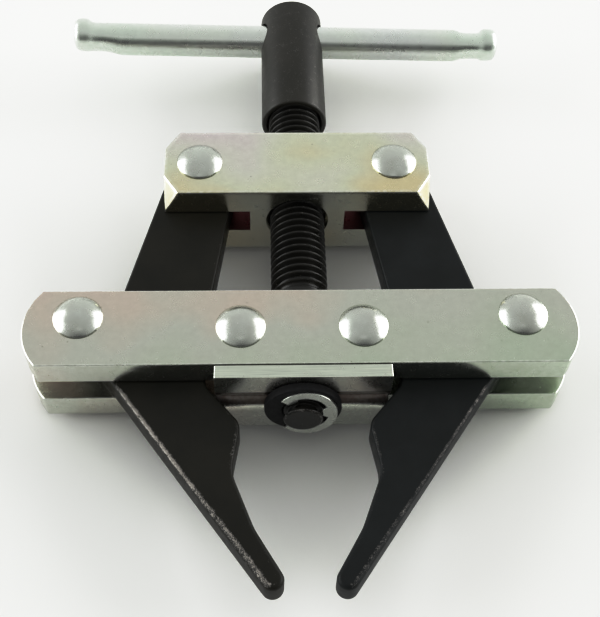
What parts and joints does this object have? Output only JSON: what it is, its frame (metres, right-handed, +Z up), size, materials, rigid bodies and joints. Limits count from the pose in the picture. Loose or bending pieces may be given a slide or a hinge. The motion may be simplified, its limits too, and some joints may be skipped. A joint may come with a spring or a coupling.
{
  "type": "roller chain puller",
  "caption": "Roller chain puller: hooked arms hang on a slotted nut block and swing through a riveted plate bar as a captive screw is turned by a sliding tommy bar.",
  "frame": {"origin": "middle of the bounding box's base: the surface that the lower rivet heads stand on", "axes": "+Y along the screw from the jaw tips towards the tommy bar, +X along the long bar to the right arm, +Z up through the rivets"},
  "size_m": [0.1102, 0.1514, 0.0232],
  "materials": {
    "zinc_steel": "clear zinc plate, faintly iridescent, satin",
    "zinc_block": "clear zinc plate over a machined block, satin",
    "polished_steel": "bright zinc on formed rivet heads, polished",
    "bright_bar": "bright zinc on drawn bar",
    "black_oxide": "black oxide, satin, worn bright along the edges",
    "dark_steel": "oiled black oxide on turned steel",
    "black_washer": "matt black oxide"
  },
  "bodies": {
    "frame": {"top_side_plate": "zinc_steel", "bottom_side_plate": "zinc_steel", "upper_bracket": "zinc_steel", "lower_bracket": "zinc_steel", "outer_rivet_left": "polished_steel", "outer_rivet_right": "polished_steel", "inner_rivet_left": "polished_steel", "inner_rivet_right": "polished_steel", "spacer_sleeve_left": "polished_steel", "spacer_sleeve_right": "polished_steel"},
    "screw": {"screw": "dark_steel", "handle_head": "dark_steel", "thrust_washer": "black_washer", "retaining_ring": "polished_steel"},
    "tommy_bar": {"tommy_bar": "bright_bar"},
    "yoke": {"yoke": "zinc_block", "yoke_rivet_left": "polished_steel", "yoke_rivet_right": "polished_steel"},
    "left_arm": {"left_arm": "black_oxide"},
    "right_arm": {"right_arm": "black_oxide"}
  },
  "joints": [
    {"name": "screw_turn", "type": "hinge", "parent": "frame", "child": "screw", "pos_m": [0, 0, 0.0116], "axis": [0, 1, 0], "range_deg": [0, 5040]},
    {"name": "tommy_bar_slide", "type": "slide", "parent": "screw", "child": "tommy_bar", "axis": [0.9997, 0, -0.0244], "range_m": [-0.0335, 0.0355]},
    {"name": "yoke_travel", "type": "slide", "parent": "frame", "child": "yoke", "axis": [0, 1, 0], "range_m": [-0.0246, 0]},
    {"name": "left_arm_pivot", "type": "hinge", "parent": "yoke", "child": "left_arm", "pos_m": [-0.02136, 0.01939, 0.0116], "axis": [0, 0, 1], "range_deg": [-11.1, 0]},
    {"name": "right_arm_pivot", "type": "hinge", "parent": "yoke", "child": "right_arm", "pos_m": [0.02136, 0.01939, 0.0116], "axis": [0, 0, 1], "range_deg": [0, 11.1]}
  ],
  "couplings": [
    {"joint": "yoke_travel", "follows": "screw_turn", "m_per_rad": -0.00027852},
    {"joint": "left_arm_pivot", "follows": "screw_turn", "ratio": -0.0021875},
    {"joint": "right_arm_pivot", "follows": "screw_turn", "ratio": 0.0021875}
  ]
}
